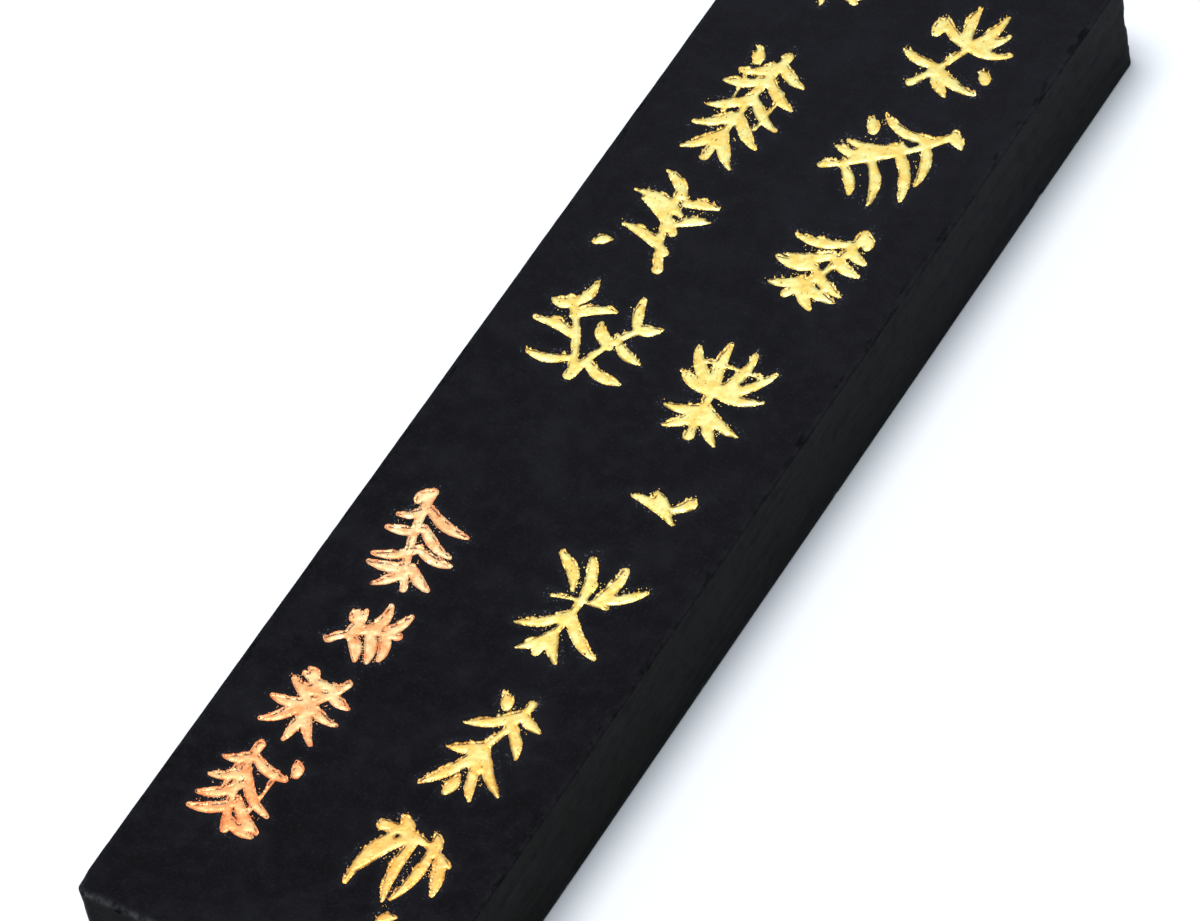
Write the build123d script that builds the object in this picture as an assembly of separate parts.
"""Ink stick: a moulded bar of soot and glue whose upper face carries sunken ornaments filled with
gold and copper paint.

The bar lies on its back. +Z points out of the ornamented face, +Y towards the head of the stick,
and the end at -Y is the one that is ground on the inkstone. The origin is the middle of the
underside. Lengths are in millimetres and angles in degrees.

Each ornament is a spray of leaves drawn with brush strokes. Its strokes are cut into the bar as
one recess, and the paint that fills the recess is a piece of its own, bonded to the floor and
walls. No ornament is lettering.
"""

from build123d import *

import os
from math import atan, cos, degrees, radians, sin

# --- the bar ---
length = 123.5
width = 32.0
thickness = 11.5
corner_radius = 1.2  # upright corners, where the ends meet the long sides
edge_radius = 0.3  # the rims of the upper and lower faces

# --- recesses and paint ---
recess_depth = 0.45
paint_sink = 0.2  # how far the paint lies below the upper face

# --- layout of the ornaments on the upper face ---
head_margin = 8.0
foot_margin = 8.0
side_margin = 3.6
column_gap = 4.4  # between the two columns of gold ornaments
row_gap = 3.2
seal_lead = 14.8  # clear face between the left gold column and the copper ornaments
seal_foot_margin = 10.2
seal_gap = 1.2
seal_width = 8.4

# --- brush strokes ---
gold_brush = 1.15  # width of a stroke of relative width 1
seal_brush = 0.95
tip_width = 0.16  # width of a pointed tip

# Relative widths of a stroke at its start, its middle and its end.
CANE = (0.95, 0.74, 0.85)
LEAF = (0.7, 1.08, 0.42)
NAIL = (1.15, 0.9, 0.4)
BOUGH = (0.5, 0.85, 1.15)
BUD = (0.4, 1.1, 0.85)
TWIG = (0.5, 0.4, 0.5)

tuft_bow = 0.09  # how far the leaves of a tuft droop, per unit of reach


# --- strokes, in half cells: a cell runs from -1 to 1 both ways ---
def stroke(kind, x, y, angle, reach, bow=0.0):
    """A stroke from (x, y) that ends `reach` away at `angle`, its middle pushed left by `bow`."""
    end = (x + reach * cos(radians(angle)), y + reach * sin(radians(angle)))
    return kind, (x, y), end, bow


def cane(x, y, angle, reach, bow=0.04):
    return stroke(CANE, x, y, angle, reach, bow)


def leaf(x, y, angle, reach, bow=0.08):
    return stroke(LEAF, x, y, angle, reach, bow)


def nail(x, y, angle, reach, bow=0.08):
    """A leaf that starts with the full width of the brush."""
    return stroke(NAIL, x, y, angle, reach, bow)


def bough(x, y, angle, reach, bow=0.08):
    return stroke(BOUGH, x, y, angle, reach, bow)


def bud(x, y, angle=-60, reach=0.3):
    return stroke(BUD, x, y, angle, reach, 0.03)


def twig(x, y, angle, reach, bow=0.03):
    return stroke(TWIG, x, y, angle, reach, bow)


def tuft(x, y, *aims):
    """Leaves from one joint, each aimed by (angle, reach) and drooping away from the middle."""
    made = []
    for angle, reach in aims:
        droop = tuft_bow * reach if cos(radians(angle)) < 0 else -tuft_bow * reach
        made.append(leaf(x, y, angle, reach, droop))
    return made


def mirrored(strokes):
    """The same ornament seen from the other side."""
    return [(kind, (-a[0], a[1]), (-b[0], b[1]), -bow) for kind, a, b, bow in strokes]


def fitted(strokes, wide, tall, aside=0.0, rise=0.0):
    """The same ornament in a part of its cell: `wide` and `tall` are shares of it."""

    def moved(point):
        return point[0] * wide + aside, point[1] * tall + rise

    return [(kind, moved(a), moved(b), bow * wide) for kind, a, b, bow in strokes]


# --- ornaments ---
def fan():
    """A leaning cane with leaves spread over its top."""
    top = tuft(0.1, 0.1, (8, 0.88), (38, 0.8), (66, 0.95), (104, 0.85), (150, 0.78))
    low = tuft(-0.2, -0.5, (172, 0.75), (-16, 1.05), (-46, 0.75))
    buds = [bud(-0.66, 0.42, -75), bud(0.62, -0.28, -40, 0.28)]
    return [cane(-0.45, -1.0, 62, 1.25, -0.05), *top, *low, *buds]


def arch():
    """A branch that falls across the cell with leaves on both sides."""
    inner = [
        leaf(0.5, 0.72, 172, 1.0, 0.12),
        leaf(0.1, 0.42, 196, 1.0, 0.12),
        leaf(-0.25, 0.05, 188, 0.72),
        leaf(0.72, 0.95, -30, 0.35, 0.03),
    ]
    outer = [
        leaf(0.42, 0.62, -72, 0.9),
        leaf(0.05, 0.3, -58, 1.1, 0.1),
        leaf(-0.3, -0.05, -62, 1.0, 0.1),
        leaf(-0.62, -0.4, -50, 0.6, 0.05),
    ]
    return [cane(0.78, 0.98, -140, 2.3, 0.12), *inner, *outer, bud(-0.75, 0.72, -50, 0.32)]


def lean():
    """A leaning cane with four tufts."""
    top = tuft(0.32, 0.66, (192, 1.15), (-30, 0.65))
    upper = tuft(0.16, 0.28, (-18, 0.8), (200, 0.95))
    lower = tuft(-0.02, -0.1, (186, 0.85), (-26, 0.95))
    low = tuft(-0.12, -0.46, (-14, 0.95), (-46, 0.8), (206, 0.7))
    return [cane(0.5, 0.95, -112, 2.0, 0.14), *top, *upper, *lower, *low, bud(0.55, 0.98, -60)]


def crown():
    """An upright cane that ends in a crown of leaves."""
    top = tuft(-0.1, -0.02, (168, 0.85), (138, 1.15), (106, 1.05), (76, 1.05), (44, 1.15), (12, 0.95))
    low = tuft(-0.05, -0.35, (196, 0.85), (-20, 0.9), (-50, 0.85), (228, 0.85))
    return [cane(-0.05, -1.0, 96, 1.1, 0.03), *top, *low, twig(-0.62, 0.52, 4, 1.15)]


def glide():
    """A low mark: two leaves and a bud on one line."""
    return [
        leaf(-0.62, 0.08, -14, 1.2, 0.1),
        leaf(-0.2, 0.3, -38, 0.8, 0.04),
        nail(0.62, 0.34, 214, 0.55, 0.05),
    ]


def torch():
    """Four free leaves over a cane with a cross twig."""
    free = [
        leaf(-0.85, 0.9, -44, 0.8),
        leaf(-0.3, 1.0, -74, 0.75),
        leaf(0.35, 1.0, -106, 0.75),
        leaf(0.88, 0.8, 214, 0.9, 0.06),
    ]
    low = tuft(-0.05, -0.05, (214, 0.95), (-36, 1.05)) + tuft(-0.1, -0.45, (232, 0.7), (-58, 0.65))
    return [*free, cane(-0.02, 0.55, -96, 1.5), twig(-0.55, 0.12, 8, 1.0), *low]


def fall():
    """A short cane with falling leaves and two buds."""
    top = tuft(0.3, 0.8, (205, 1.15), (-18, 0.6))
    low = tuft(0.0, 0.1, (230, 1.25), (198, 0.78), (-36, 1.15), (-66, 1.0))
    return [
        cane(0.35, 0.98, -112, 1.0),
        *top,
        leaf(0.22, 0.55, -42, 0.7, 0.05),
        *low,
        bud(-0.35, 0.98, -40),
        bud(-0.12, -0.5, -100, 0.32),
    ]


def gust():
    """A bent cane with its leaves blown to one side."""
    blown = [
        leaf(-0.42, -0.62, 14, 1.2, 0.1),
        leaf(-0.32, -0.15, 26, 1.15, 0.1),
        leaf(-0.2, 0.3, 8, 1.15, 0.1),
        leaf(-0.05, 0.68, 34, 0.8, 0.06),
    ]
    back = [leaf(-0.3, 0.1, 152, 0.6, -0.05), leaf(-0.15, 0.55, 166, 0.7, -0.05)]
    return [cane(-0.5, -1.0, 72, 1.95, -0.14), *blown, *back, bud(0.72, -0.75, -30)]


def perch():
    """A low mark: a long leaf, a short one and a bud."""
    return [leaf(0.6, 0.0, 168, 1.2, -0.1), nail(-0.3, 0.32, -64, 0.7, 0.05), bud(0.35, 0.34, -30, 0.32)]


def curtain():
    """Leaves that hang from a level bough."""
    hanging = [
        leaf(-0.62, 0.7, -118, 0.8, -0.06),
        leaf(-0.4, 0.78, -84, 1.15, -0.1),
        leaf(-0.02, 0.84, -96, 1.3, 0.12),
        leaf(0.1, 0.84, -58, 1.05, 0.1),
        leaf(0.5, 0.76, -78, 1.2, 0.12),
    ]
    risen = [leaf(-0.5, 0.72, 62, 0.4, 0.03), leaf(0.2, 0.88, 38, 0.4, 0.03)]
    return [bough(-0.95, 0.6, 8, 1.75, 0.16), *hanging, *risen, bud(-0.62, -0.62, -30, 0.32)]


def frond():
    """A cane with a pair of leaves at each of its five joints and two twigs across them."""
    joints = [
        (0.16, 0.84, (202, 0.85), (-18, 0.75)),
        (0.1, 0.56, (196, 1.0), (-22, 0.95)),
        (0.02, 0.22, (204, 0.95), (-24, 1.0)),
        (-0.04, -0.12, (206, 0.9), (-28, 0.95)),
        (-0.1, -0.46, (216, 0.8), (-40, 0.85)),
    ]
    pairs = [item for joint in joints for item in tuft(*joint)]
    twigs = [twig(-0.5, 0.56, -84, 0.75), twig(0.55, 0.42, -96, 0.7)]
    return [cane(0.15, 1.0, -98, 1.98, -0.05), *pairs, *twigs, bud(-0.62, 0.98, -50)]


def fork():
    """Two canes from one root."""
    left = [
        leaf(-0.62, 0.42, 188, 0.4, 0.03),
        leaf(-0.6, 0.45, 78, 0.6, -0.05),
        leaf(-0.5, 0.2, 32, 0.75),
        leaf(-0.3, -0.2, 176, 0.75, -0.08),
        leaf(-0.08, -0.62, 196, 0.8, 0.09),
    ]
    right = [
        leaf(0.66, 0.42, 108, 0.65, 0.06),
        leaf(0.66, 0.4, 30, 0.45, -0.03),
        leaf(0.52, 0.02, -24, 0.6, -0.06),
        leaf(0.42, -0.15, 132, 0.6, 0.06),
        leaf(0.25, -0.6, -14, 0.75, -0.08),
    ]
    return [cane(0.1, -1.0, 118, 1.7, -0.1), cane(0.12, -0.95, 66, 1.6, 0.12), *left, *right]


def climb():
    """A rising branch with leaves above and below it."""
    above = [
        leaf(-0.6, -0.25, 82, 0.85, -0.08),
        leaf(-0.3, -0.02, 60, 0.95, -0.1),
        leaf(0.05, 0.15, 88, 0.85, -0.08),
        leaf(0.35, 0.26, 56, 0.8, -0.08),
    ]
    below = [
        leaf(-0.5, -0.2, -44, 0.85, 0.1),
        leaf(-0.05, 0.08, -58, 0.95, 0.1),
        leaf(0.38, 0.24, -66, 0.85, 0.09),
    ]
    return [cane(-0.95, -0.5, 24, 1.9, 0.2), *above, *below, bud(-0.78, 0.55, -70)]


def star():
    """Leaves that spread from the foot of a short cane."""
    spread = [
        leaf(-0.05, 0.15, 150, 0.85, -0.06),
        leaf(-0.08, 0.12, 192, 0.85),
        leaf(-0.08, 0.1, 228, 1.1, 0.1),
        leaf(-0.03, 0.08, -88, 1.05, 0.06),
        leaf(0.0, 0.1, -54, 1.15, -0.08),
        leaf(0.02, 0.14, -16, 0.95, -0.08),
    ]
    top = [
        leaf(0.4, 0.8, 180, 0.95, 0.1),
        leaf(0.25, 0.5, 176, 0.95, 0.08),
        leaf(0.28, 0.62, -20, 0.7, -0.06),
    ]
    return [cane(0.55, 0.95, -126, 1.1, 0.1), *top, *spread, bud(-0.5, 0.95, -30, 0.28)]


def droop():
    """A cane that bends aside under drooping leaves."""
    right = [
        leaf(-0.3, 0.75, -14, 0.95, -0.09),
        leaf(-0.2, 0.35, -34, 1.15, -0.12),
        leaf(-0.02, -0.2, -30, 0.95, -0.1),
        leaf(0.05, -0.62, -14, 0.7, -0.06),
    ]
    left = [
        leaf(-0.3, 0.75, 204, 0.65, 0.06),
        leaf(-0.24, 0.42, 208, 0.8, 0.08),
        leaf(-0.16, 0.1, 212, 0.9, 0.09),
        leaf(-0.05, -0.3, 204, 0.95, 0.1),
    ]
    twigs = [twig(0.35, 0.6, -92, 0.95), twig(-0.55, 0.55, -88, 0.85)]
    return [cane(-0.35, 1.0, -76, 1.9, -0.16), *right, *left, *twigs, bud(0.6, 0.95, -60, 0.28)]


RIGHT_COLUMN = [
    fitted(fan(), 0.92, 0.96, aside=-0.15),
    fitted(arch(), 1.0, 0.98, aside=-0.05),
    fitted(lean(), 0.82, 0.86, rise=0.3),
    fitted(crown(), 0.9, 0.94, aside=-0.1, rise=-0.1),
    fitted(glide(), 0.76, 0.85, aside=0.15, rise=0.1),
    fitted(torch(), 0.98, 1.0, rise=0.38),
    fitted(fall(), 0.78, 1.12, aside=0.06, rise=0.04),
    fitted(mirrored(curtain()), 0.82, 0.96, rise=-0.05),
]
LEFT_COLUMN = [
    fitted(perch(), 0.9, 0.9, rise=0.1),
    fitted(frond(), 0.78, 1.24),
    fitted(mirrored(gust()), 0.86, 0.88, rise=-0.08),
    fitted(fork(), 1.0, 0.9, aside=0.12, rise=0.06),
]
SEAL_COLUMN = [
    fitted(mirrored(lean()), 0.95, 1.2, rise=-0.22),
    fitted(climb(), 0.72, 0.8, aside=0.2, rise=-0.28),
    fitted(star(), 0.85, 0.86),
    fitted(droop(), 0.95, 1.08, rise=0.08),
]


# --- from strokes to flat shapes ---
def outline(item, cell_width, cell_height, brush):
    """One stroke as a flat face: two bent sides closed by round tips."""
    kind, start, end, bow = item
    scale = (cell_width / 2, cell_height / 2)
    a = Vector(start[0] * scale[0], start[1] * scale[1])
    b = Vector(end[0] * scale[0], end[1] * scale[1])
    along = (b - a).normalized()
    across = Vector(-along.Y, along.X)
    sag = bow * scale[0]
    turn = degrees(2 * atan(2 * sag / (b - a).length))  # of the centreline, at either end
    leave, arrive = along.rotate(Axis.Z, turn), along.rotate(Axis.Z, -turn)
    first, middle, last = [max(share * brush, tip_width) / 2 for share in kind]
    centre = (a + b) * 0.5 + across * sag
    a_left, a_right = [a + Vector(-leave.Y, leave.X) * first * s for s in (1, -1)]
    b_left, b_right = [b + Vector(-arrive.Y, arrive.X) * last * s for s in (1, -1)]

    def side(p, through, q):
        return Bezier(p, through * 2 - (p + q) * 0.5, q)

    edges = [
        side(a_left, centre + across * middle, b_left),
        ThreePointArc(b_left, b + arrive * last, b_right),
        side(b_right, centre - across * middle, a_right),
        ThreePointArc(a_right, a - leave * first, a_left),
    ]
    return make_face(edges)


def ornament(strokes, cell_width, cell_height, brush):
    """The flat shape of a whole ornament, its strokes merged where they cross."""
    faces = [outline(item, cell_width, cell_height, brush) for item in strokes]
    shape = Sketch() + faces[0]
    for face in faces[1:]:
        shape += face
    return shape


# --- where the ornaments go ---
gold_width = (width - 2 * side_margin - column_gap) / 2
gold_height = (length - head_margin - foot_margin + row_gap) / len(RIGHT_COLUMN) - row_gap
row_pitch = gold_height + row_gap
first_row = length / 2 - head_margin - gold_height / 2
right_x = width / 2 - side_margin - gold_width / 2
left_x = -width / 2 + side_margin + gold_width / 2

seal_top = first_row - (len(LEFT_COLUMN) - 1) * row_pitch - gold_height / 2 - seal_lead
seal_height = (seal_top + length / 2 - seal_foot_margin + seal_gap) / len(SEAL_COLUMN) - seal_gap
seal_x = -width / 2 + side_margin + seal_width / 2


def placed_ornaments():
    """Every ornament as (node name, flat shape on the upper face)."""
    cells = []
    for name, column, x in (("right", RIGHT_COLUMN, right_x), ("left", LEFT_COLUMN, left_x)):
        for row, strokes in enumerate(column):
            shape = ornament(strokes, gold_width, gold_height, gold_brush)
            cells.append((f"gold_paint_{name}_{row + 1}", Pos(x, first_row - row * row_pitch) * shape))
    for row, strokes in enumerate(SEAL_COLUMN):
        y = seal_top - seal_height / 2 - row * (seal_height + seal_gap)
        shape = ornament(strokes, seal_width, seal_height, seal_brush)
        cells.append((f"copper_paint_{row + 1}", Pos(seal_x, y) * shape))
    return cells


def bar():
    """The plain moulded bar, before the recesses."""
    upright = (Align.CENTER, Align.CENTER, Align.MIN)
    block = Box(length=width, width=length, height=thickness, align=upright)
    block = fillet(block.edges().filter_by(Axis.Z), corner_radius)
    rims = block.edges().group_by(Axis.Z)[0] + block.edges().group_by(Axis.Z)[-1]
    return fillet(rims, edge_radius)


def prism(shape, floor, height):
    """A flat shape stood up from `floor` as a solid of that height."""
    return extrude(Pos(0, 0, floor) * shape, height, dir=(0, 0, 1))


def build():
    ornaments = placed_ornaments()
    floor = thickness - recess_depth
    ink = bar()
    parts = {}
    for name, shape in ornaments:
        ink -= prism(shape, floor, recess_depth)
        parts[name] = prism(shape, floor, recess_depth - paint_sink)
    parts["ink_body"] = ink
    return parts


os.makedirs("parts", exist_ok=True)
for node, solid in build().items():
    export_step(solid, f"parts/{node}.step")
